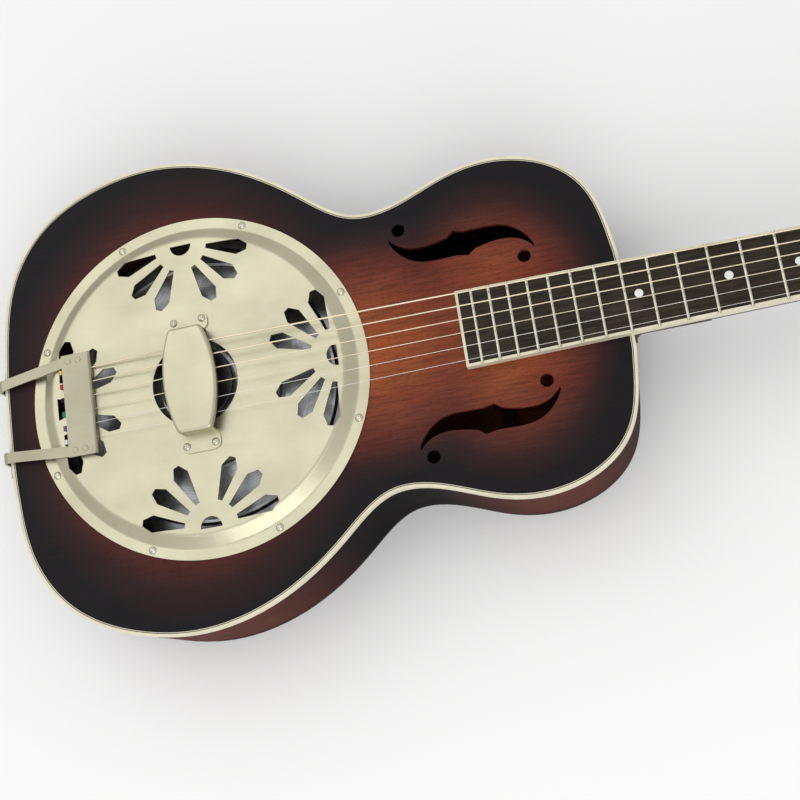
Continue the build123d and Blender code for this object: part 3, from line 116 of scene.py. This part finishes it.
class Shader:
    """A material's node tree with short calls for the nodes used here."""

    def __init__(self, name):
        self.material = bpy.data.materials.new(name)
        self.material.use_nodes = True
        self.tree = self.material.node_tree
        self.shader = self.tree.nodes["Principled BSDF"]
        self.place = self.tree.nodes.new("ShaderNodeTexCoord").outputs["Object"]

    def node(self, kind, inputs=(), **settings):
        made = self.tree.nodes.new(kind)
        for key, value in settings.items():
            setattr(made, key, value)
        for key, value in dict(inputs).items():
            self.link(value, made.inputs[key])
        return made

    def link(self, value, socket):
        if isinstance(value, bpy.types.NodeSocket):
            self.tree.links.new(value, socket)
        else:
            socket.default_value = value

    def set(self, **values):
        for key, value in values.items():
            self.link(value, self.shader.inputs[key.replace("_", " ")])

    def math(self, kind, a, b=0.0):
        return self.node("ShaderNodeMath", {0: a, 1: b}, operation=kind).outputs[0]

    def stretch(self, scale, source=None):
        made = self.node("ShaderNodeMapping", {"Vector": source or self.place, "Scale": scale})
        return made.outputs[0]

    def noise(self, vector, scale, detail=4.0, rough=0.55, distortion=0.0):
        made = self.node("ShaderNodeTexNoise", {
            "Vector": vector, "Scale": scale, "Detail": detail, "Roughness": rough,
            "Distortion": distortion})
        return made.outputs["Fac"]

    def ramp(self, value, stops):
        made = self.node("ShaderNodeValToRGB", {"Fac": value})
        band = made.color_ramp
        while len(band.elements) < len(stops):
            band.elements.new(0.5)
        for element, (at, colour) in zip(band.elements, stops):
            element.position = at
            element.color = (*colour, 1.0)
        return made.outputs["Color"]

    def span(self, value, low, high, to_low=0.0, to_high=1.0):
        made = self.node("ShaderNodeMapRange", {
            "Value": value, "From Min": low, "From Max": high, "To Min": to_low,
            "To Max": to_high})
        return made.outputs[0]

    def mix(self, factor, a, b, kind="MIX"):
        made = self.node("ShaderNodeMix", data_type="RGBA", blend_type=kind)
        self.link(factor, made.inputs["Factor"])
        for value, socket in ((a, made.inputs[6]), (b, made.inputs[7])):
            self.link(value if isinstance(value, bpy.types.NodeSocket) else (*value, 1.0), socket)
        return made.outputs[2]

    def bump(self, height, strength, distance):
        made = self.node("ShaderNodeBump", {
            "Height": height, "Strength": strength, "Distance": distance})
        self.link(made.outputs[0], self.shader.inputs["Normal"])

    def axes(self):
        split = self.node("ShaderNodeSeparateXYZ", {"Vector": self.place})
        return split.outputs

    def hypot(self, a, b):
        squares = self.math("ADD", self.math("MULTIPLY", a, a), self.math("MULTIPLY", b, b))
        return self.math("SQRT", squares)


def oval(shader, x, y, middle, half_x, half_y):
    """How far out a point is in an oval centred on the instrument's middle line: 1 on its edge."""
    across = shader.math("DIVIDE", x, half_x)
    along = shader.math("DIVIDE", shader.math("SUBTRACT", y, middle), half_y)
    return shader.hypot(across, along)


# ======================================================================= materials

def lacquered_top():
    """Sunburst over mahogany: amber-brown in the middle, red-brown, then blue-black at the edge."""
    m = Shader("sunburst_top")
    x, y, _ = m.axes()
    near, upper, waist = (oval(m, x, y, *burst)
                          for burst in (LOWER_BURST, UPPER_BURST, WAIST_BURST))
    for other in (upper, waist):
        near = m.node("ShaderNodeMath", {0: near, 1: other, 2: BURST_BLEND},
                      operation="SMOOTH_MIN").outputs[0]
    cloud = m.noise(m.stretch((14, 5, 14)), 1.0, 3.0)
    edge = m.math("ADD", near, m.span(cloud, 0, 1, -0.03, 0.03))
    burst = m.ramp(edge, [
        (0.0, (0.400, 0.125, 0.036)), (0.34, (0.250, 0.062, 0.023)), (0.56, (0.135, 0.030, 0.017)),
        (0.74, (0.028, 0.010, 0.011)), (0.86, (0.004, 0.005, 0.008))])
    figure = m.noise(m.stretch((30, 9, 30)), 1.0, 5.0, 0.6, 1.2)
    grain = m.noise(m.stretch((700, 42, 60)), 1.0, 5.0, 0.7, 0.15)
    pores = m.noise(m.stretch((1900, 210, 200)), 1.0, 2.0, 0.6)
    warm = m.mix(m.span(figure, 0.35, 0.68, 0.0, 0.45), burst, (0.42, 0.13, 0.045), "OVERLAY")
    dark = m.mix(m.span(grain, 0.42, 0.68, 0.0, 0.5), warm, (0.018, 0.006, 0.006))
    colour = m.mix(m.span(pores, 0.56, 0.7, 0.0, 0.55), dark, (0.005, 0.003, 0.003))
    m.set(Base_Color=colour, Roughness=0.46, Specular_IOR_Level=0.15)
    m.bump(grain, 0.05, 0.0004)
    return m.material


def lacquered_side_with_painted_shade():
    """The bent sides: red-brown at the bouts, nearly black at waist and tail, and darkened toward
    the lower edge by painted shade near the floor.
    """
    m = Shader("sunburst_side_with_painted_shade")
    x, y, z = m.axes()
    # painted shade: the sides get darker toward their lower edge, where they meet the floor
    rim = m.span(z, 0.016, 0.0, 0.0, 0.8)
    shoulder = m.math("ABSOLUTE", m.math("SUBTRACT", y, 0.245))
    belly = m.math("ABSOLUTE", m.math("SUBTRACT", y, -0.030))
    bout = m.math("MINIMUM", m.span(shoulder, 0.02, 0.085), m.span(belly, 0.05, 0.125))
    shade = m.math("MAXIMUM", rim, bout)
    tone = m.ramp(shade, [
        (0.0, (0.112, 0.029, 0.018)), (0.55, (0.050, 0.014, 0.011)),
        (1.0, (0.004, 0.004, 0.005))])
    grain = m.noise(m.stretch((26, 26, 420)), 1.0, 5.0, 0.6, 0.4)
    colour = m.mix(m.span(grain, 0.4, 0.7, 0.0, 0.5), tone, (0.012, 0.004, 0.005))
    m.set(Base_Color=colour, Roughness=0.55, Specular_IOR_Level=0.02)
    m.bump(grain, 0.04, 0.0004)
    return m.material


def plain_wood(name, light, dark, scale, rough=0.5, gloss=0.3):
    """Straight-grained wood along the neck, from two tones."""
    m = Shader(name)
    grain = m.noise(m.stretch(scale), 1.0, 6.0, 0.62, 0.5)
    pores = m.noise(m.stretch(tuple(3 * s for s in scale)), 1.0, 2.0, 0.6)
    colour = m.mix(m.span(grain, 0.34, 0.68), light, dark)
    colour = m.mix(m.span(pores, 0.56, 0.74, 0.0, 0.6), colour, tuple(0.4 * c for c in dark))
    m.set(Base_Color=colour, Roughness=m.span(grain, 0.3, 0.7, rough - 0.07, rough + 0.07),
          Specular_IOR_Level=gloss)
    m.bump(pores, 0.12, 0.0003)
    return m.material


def satin_nickel(name, tint, rough):
    """Plated sheet with fine brush lines along the strings and soft smudges."""
    m = Shader(name)
    lines = m.noise(m.stretch((2600, 40, 900)), 1.0, 3.0, 0.7)
    smudge = m.noise(m.stretch((22, 16, 22)), 1.0, 4.0, 0.6)
    dull = tuple(0.86 * c for c in tint)
    m.set(Base_Color=m.mix(m.span(smudge, 0.35, 0.7), tint, dull), Metallic=1.0,
          Roughness=m.math("ADD", m.span(lines, 0.3, 0.7, rough - 0.05, rough + 0.06),
                           m.span(smudge, 0.3, 0.7, -0.03, 0.05)))
    m.bump(lines, 0.10, 0.00012)
    return m.material


def spun_metal():
    """The cone: bright sheet with the spinning tool's rings."""
    m = Shader("spun_aluminium")
    x, y, _ = m.axes()
    radius = m.hypot(x, y)
    ring = m.node("ShaderNodeCombineXYZ", {0: m.math("MULTIPLY", radius, 900.0)}).outputs[0]
    rings = m.noise(ring, 1.0, 4.0, 0.7)
    scuff = m.noise(m.stretch((60, 60, 60)), 1.0, 5.0, 0.7, 0.8)
    tint = m.mix(m.span(rings, 0.3, 0.7), (0.80, 0.82, 0.86), (0.42, 0.44, 0.47))
    m.set(Base_Color=m.mix(m.span(scuff, 0.42, 0.66, 0.0, 0.7), tint, (0.16, 0.165, 0.17)),
          Metallic=1.0, Roughness=m.span(rings, 0.3, 0.7, 0.26, 0.42))
    m.bump(rings, 0.15, 0.0002)
    return m.material


def smooth_plastic(name, tint, rough):
    """Polished trim with a faint drift of tone."""
    m = Shader(name)
    drift = m.noise(m.stretch((60, 60, 60)), 1.0, 4.0)
    fine = m.noise(m.stretch((900, 900, 900)), 1.0, 2.0)
    other = tuple(c * (1 - 0.16) for c in tint)
    m.set(Base_Color=m.mix(m.span(drift, 0.35, 0.7), tint, other),
          Roughness=m.span(fine, 0.3, 0.7, rough - 0.05, rough + 0.05), Specular_IOR_Level=0.4)
    m.bump(fine, 0.05, 0.0001)
    return m.material


def purfling():
    """A light line inside a dark one, told apart by how far across the ring a point is."""
    m = Shader("purfling")
    across = m.node("ShaderNodeAttribute", attribute_name="across").outputs["Fac"]
    fine = m.noise(m.stretch((900, 900, 900)), 1.0, 2.0)
    cream = m.mix(fine, (0.70, 0.66, 0.52), (0.62, 0.57, 0.42))
    m.set(Base_Color=m.mix(m.span(across, 0.44, 0.50), cream, (0.008, 0.008, 0.009)),
          Roughness=m.span(fine, 0.3, 0.7, 0.3, 0.4), Specular_IOR_Level=0.3)
    m.bump(fine, 0.05, 0.0001)
    return m.material


def mark_across(ring):
    """Note on a flat ring's vertices which lie on its outer edge (1) and which on its inner (0)."""
    mesh = ring.data
    top = max(v.co.z for v in mesh.vertices)
    spots = {}
    for vertex in mesh.vertices:
        spots.setdefault(tuple(round(c, 6) for c in vertex.co), []).append(vertex.index)
    spot_of = {index: spot for spot, indices in spots.items() for index in indices}
    walls = {}
    for face in mesh.polygons:
        if abs(face.normal.z) > 0.5:
            continue
        rim = [spot_of[i] for i in face.vertices if mesh.vertices[i].co.z > top - 1e-5]
        for spot in rim:
            walls.setdefault(spot, set()).update(rim)
    outer = max(groups(walls), key=reach)
    outer_xy = {spot[:2] for spot in outer}
    marks = mesh.attributes.new("across", "FLOAT", "POINT")
    for index, spot in spot_of.items():
        marks.data[index].value = 1.0 if spot[:2] in outer_xy else 0.0


def groups(links):
    """The sets of spots that are joined to each other."""
    left = set(links)
    found = []
    while left:
        group = set()
        ahead = [min(left)]
        while ahead:
            spot = ahead.pop()
            if spot not in group:
                group.add(spot)
                ahead += links[spot]
        found.append(group)
        left -= group
    return found


def reach(spots):
    """How far out a set of spots goes to the sides."""
    return max(abs(spot[0]) for spot in spots)


def pearl():
    """Shell dots with a shifting pale figure."""
    m = Shader("pearl")
    figure = m.node("ShaderNodeTexVoronoi", {"Vector": m.stretch((420, 420, 420)), "Scale": 1.0})
    colour = m.mix(m.span(figure.outputs["Distance"], 0.1, 0.8), (0.90, 0.89, 0.86),
                   (0.72, 0.75, 0.74))
    m.set(Base_Color=colour, Roughness=0.18, Coat_Weight=0.5)
    return m.material


def drawn_wire(name, tint, rough, pitch):
    """A string: its wrap, if it has one, is a fine wave along its length."""
    m = Shader(name)
    wave = m.node("ShaderNodeTexWave", {"Vector": m.place, "Scale": 1.0 / pitch / 3.2},
                  bands_direction="Y").outputs["Fac"]
    wear = m.noise(m.stretch((300, 20, 300)), 1.0, 3.0)
    dark = tuple(0.55 * c for c in tint)
    m.set(Base_Color=m.mix(m.span(wear, 0.4, 0.75, 0.0, 0.6), tint, dark), Metallic=1.0,
          Roughness=m.span(wave, 0, 1, rough, rough + 0.12))
    m.bump(wave, 0.4, 0.00008)
    return m.material


def ball_colours():
    """The ball ends' colour code, by their place across the tailpiece."""
    m = Shader("ball_colours")
    x = m.axes()[0]
    made = m.node("ShaderNodeValToRGB", {"Fac": m.span(x, -0.032, 0.032)})
    band = made.color_ramp
    band.interpolation = "CONSTANT"
    tints = ((0.62, 0.42, 0.12), (0.45, 0.02, 0.03), (0.01, 0.01, 0.01), (0.02, 0.20, 0.10),
             (0.16, 0.06, 0.28), (0.65, 0.65, 0.66))
    while len(band.elements) < len(tints):
        band.elements.new(0.5)
    for place, (element, tint) in enumerate(zip(band.elements, tints)):
        element.position = place / len(tints)
        element.color = (*tint, 1.0)
    scuff = m.noise(m.stretch((700, 700, 700)), 1.0, 3.0)
    m.set(Base_Color=made.outputs["Color"], Metallic=0.85,
          Roughness=m.span(scuff, 0.3, 0.7, 0.2, 0.4))
    return m.material


NICKEL = (0.60, 0.57, 0.41)
OLIVE = (0.42, 0.40, 0.29)
BRIGHT = (0.66, 0.64, 0.52)

materials = {
    "top": lacquered_top(),
    "side": lacquered_side_with_painted_shade(),
    "neck": plain_wood("neck_wood", (0.050, 0.016, 0.011), (0.014, 0.006, 0.005), (380, 14, 380),
                       0.4, 0.25),
    "raw": plain_wood("raw_wood", (0.50, 0.34, 0.19), (0.30, 0.18, 0.09), (240, 12, 240), 0.7),
    "board": plain_wood("fretboard_wood", (0.046, 0.034, 0.022), (0.011, 0.008, 0.006),
                        (430, 30, 430), 0.5, 0.15),
    "black": plain_wood("black_wood", (0.014, 0.012, 0.011), (0.005, 0.004, 0.004),
                        (300, 14, 300), 0.3, 0.35),
    "cream": smooth_plastic("cream_binding", (0.76, 0.71, 0.53), 0.3),
    "line": purfling(),
    "pearl": pearl(),
    "bone": smooth_plastic("bone", (0.72, 0.66, 0.50), 0.35),
    "cone": spun_metal(),
    "nickel": satin_nickel("satin_nickel", NICKEL, 0.36),
    "olive": satin_nickel("tail_nickel", OLIVE, 0.34),
    "bright": satin_nickel("bright_nickel", BRIGHT, 0.2),
    "inside": plain_wood("inside_mahogany", (0.060, 0.026, 0.014), (0.030, 0.012, 0.008),
                         (240, 12, 240), 0.7, 0.1),
    "steel": satin_nickel("steel", (0.42, 0.42, 0.43), 0.4),
    "balls": ball_colours(),
    "plain_string": drawn_wire("plain_string", (0.88, 0.86, 0.80), 0.3, 0.002),
    "wound_string": drawn_wire("wound_string", (0.88, 0.76, 0.56), 0.28, 0.0004),
}

USES = {
    "top": ["soundboard", "back_plate"],
    "side": ["side_bass", "side_treble"],
    "neck": ["neck"],
    "raw": ["top_braces"],
    "inside": ["neck_block", "tail_block", "kerfed_linings", "back_braces", "soundwell",
               "soundwell_posts"],
    "board": ["fretboard"],
    "black": ["headstock_veneer", "biscuit", "truss_rod_cover"],
    "cream": ["top_binding", "fretboard_binding"],
    "line": ["top_purfling"],
    "pearl": ["position_dots"],
    "bone": ["nut", "saddle"],
    "cone": ["cone"],
    "nickel": ["coverplate", "hand_rest"],
    "olive": ["string_anchor", "tailpiece_arms", "tail_bracket", "tailpiece_rivets"],
    "bright": ["coverplate_screws", "hand_rest_screws", "tail_bracket_screws", "strap_button",
               "frets", "tuner_plates", "tuner_bushings", "headstock_screws", "hinge_pin"]
    + [f"tuner_{kind}_{number}" for kind in ("post", "key") for number in range(1, 7)],
    "steel": ["truss_rod", "neck_bolts", "biscuit_screw"],
    "balls": ["ball_ends"],
}


def dress_nodes():
    """Give each carried-over node its material, and mark the purfling's two edges."""
    for use, names in USES.items():
        for name in names:
            piece = nodes[name]
            piece.data.materials.clear()
            piece.data.materials.append(materials[use])
    mark_across(nodes["top_purfling"])


# ======================================================================= strings

def tube(name, route, radius, sides=10):
    """A round tube along a list of points, each ring square to its neighbours."""
    corners = []
    faces = []
    across = Vector((1, 0, 0))
    for place, point in enumerate(route):
        before = route[max(place - 1, 0)]
        after = route[min(place + 1, len(route) - 1)]
        along = (after - before).normalized()
        across = (across - along * across.dot(along)).normalized()
        other = along.cross(across)
        for side in range(sides):
            turn = 2 * pi * side / sides
            corners.append(point + radius * (cos(turn) * across + sin(turn) * other))
    for ring in range(len(route) - 1):
        for side in range(sides):
            a = ring * sides + side
            b = ring * sides + (side + 1) % sides
            faces.append((a, b, b + sides, a + sides))
    faces.append(tuple(reversed(range(sides))))
    faces.append(tuple(range(len(corners) - sides, len(corners))))
    mesh = bpy.data.meshes.new(name)
    mesh.from_pydata([tuple(c) for c in corners], [], faces)
    mesh.shade_smooth()
    piece = bpy.data.objects.new(name, mesh)
    bpy.context.collection.objects.link(piece)
    return piece


def steps(start, end, size):
    """Points from start up to, but not at, end."""
    count = max(1, round((end - start).length / size))
    return [start.lerp(end, place / count) for place in range(count)]


def spread(index, half_span):
    """Where a string crosses a line whose outer strings are half_span from the middle."""
    return half_span * (1 - 2 * index / (len(STRING_RADII) - 1))


def on_head(x, s, n):
    """A point on the tilted headstock: across, along and above its face."""
    return HEAD_ORIGIN + Vector((x, s * cos(HEAD_TILT) + n * sin(HEAD_TILT),
                                 n * cos(HEAD_TILT) - s * sin(HEAD_TILT)))


def add_string(index):
    """One string from its ball end to the turns on its post."""
    radius = STRING_RADII[index]
    node = f"string_{index + 1}"
    last = len(STRING_RADII) - 1
    side = 1 if index < len(POST_S) else -1
    s = POST_S[min(index, last - index)]
    post_x = side * POST_X
    wind = POST_RADIUS + radius
    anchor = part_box("string_anchor")
    tail_x = spread(index, TAIL_HALF_SPAN)
    nut_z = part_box("nut")[1][2] - NUT_SLOT_DEPTH + radius
    crown = SADDLE_CROWN * (spread(index, SADDLE_HALF_SPAN) / SADDLE_HALF_WIDTH) ** 2
    saddle_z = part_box("hand_rest")[1][2] - SADDLE_BELOW_REST - crown + radius
    corners = [
        Vector((tail_x, anchor[0][1], BALL_HEIGHT)),
        Vector((tail_x, anchor[1][1] - LIP_THICKNESS, LIP_HEIGHT - radius)),
        Vector((spread(index, SADDLE_HALF_SPAN), 0, saddle_z)),
        Vector((spread(index, NUT_HALF_SPAN), NUT_BACK_Y, nut_z)),
        on_head(post_x - side * wind, s, WIND_LOW + radius),
    ]
    route = []
    for start, end in zip(corners, corners[1:]):
        route += steps(start, end, STEP_LENGTH)
    for step in range(int(STEPS_PER_TURN * WIND_TURNS) + 1):
        turn = 2 * pi * step / STEPS_PER_TURN
        angle = pi - turn if side > 0 else turn
        route.append(on_head(post_x + wind * cos(angle), s + wind * sin(angle),
                             WIND_LOW + radius * (1 + 2 * step / STEPS_PER_TURN)))
    piece = tube(f"string_wire_{index + 1}", route, radius)
    finish = "wound_string" if index >= WOUND_FROM else "plain_string"
    piece.data.materials.append(materials[finish])
    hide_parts(node)
    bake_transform(piece)


# ======================================================================= floor and light

def pale_floor():
    """A wide matt floor just under the guitar's back."""
    m = Shader("pale_floor")
    tone = m.noise(m.stretch((3, 3, 3)), 1.0, 2.0)
    m.set(Base_Color=m.mix(tone, (0.93, 0.93, 0.93), (0.91, 0.91, 0.91)), Roughness=0.9)
    mesh = bpy.data.meshes.new("floor")
    low = cad_box[0][2] - FLOOR_GAP
    signs = ((-1, -1), (1, -1), (1, 1), (-1, 1))
    mesh.from_pydata([(i * FLOOR_HALF, j * FLOOR_HALF, low) for i, j in signs], [],
                     [(0, 1, 2, 3)])
    mesh.materials.append(m.material)
    floor = bpy.data.objects.new("floor", mesh)
    bpy.context.collection.objects.link(floor)


def soft_light(name, place, size, power):
    """A square area light aimed at the middle of the body."""
    data = bpy.data.lights.new(name, "AREA")
    data.size = size
    data.energy = power
    lamp = bpy.data.objects.new(name, data)
    lamp.location = place
    lamp.rotation_euler = (Vector(LIGHT_TARGET) - Vector(place)).to_track_quat("-Z", "Y").to_euler()
    bpy.context.collection.objects.link(lamp)


def light_studio():
    """An even white surround with a large key light and a fill."""
    world = bpy.data.worlds.new("studio")
    bpy.context.scene.world = world
    world.use_nodes = True
    sky = world.node_tree.nodes["Background"]
    sky.inputs["Color"].default_value = (1.0, 1.0, 1.0, 1.0)
    sky.inputs["Strength"].default_value = SKY_STRENGTH
    soft_light("key", (-0.9, -0.9, 2.3), 2.6, 14)
    soft_light("fill", (1.6, 0.3, 1.6), 1.6, 14)
    bpy.context.scene.view_settings.view_transform = "Standard"


add_camera()
dress_nodes()
for string in range(len(STRING_RADII)):
    add_string(string)
pale_floor()
light_studio()
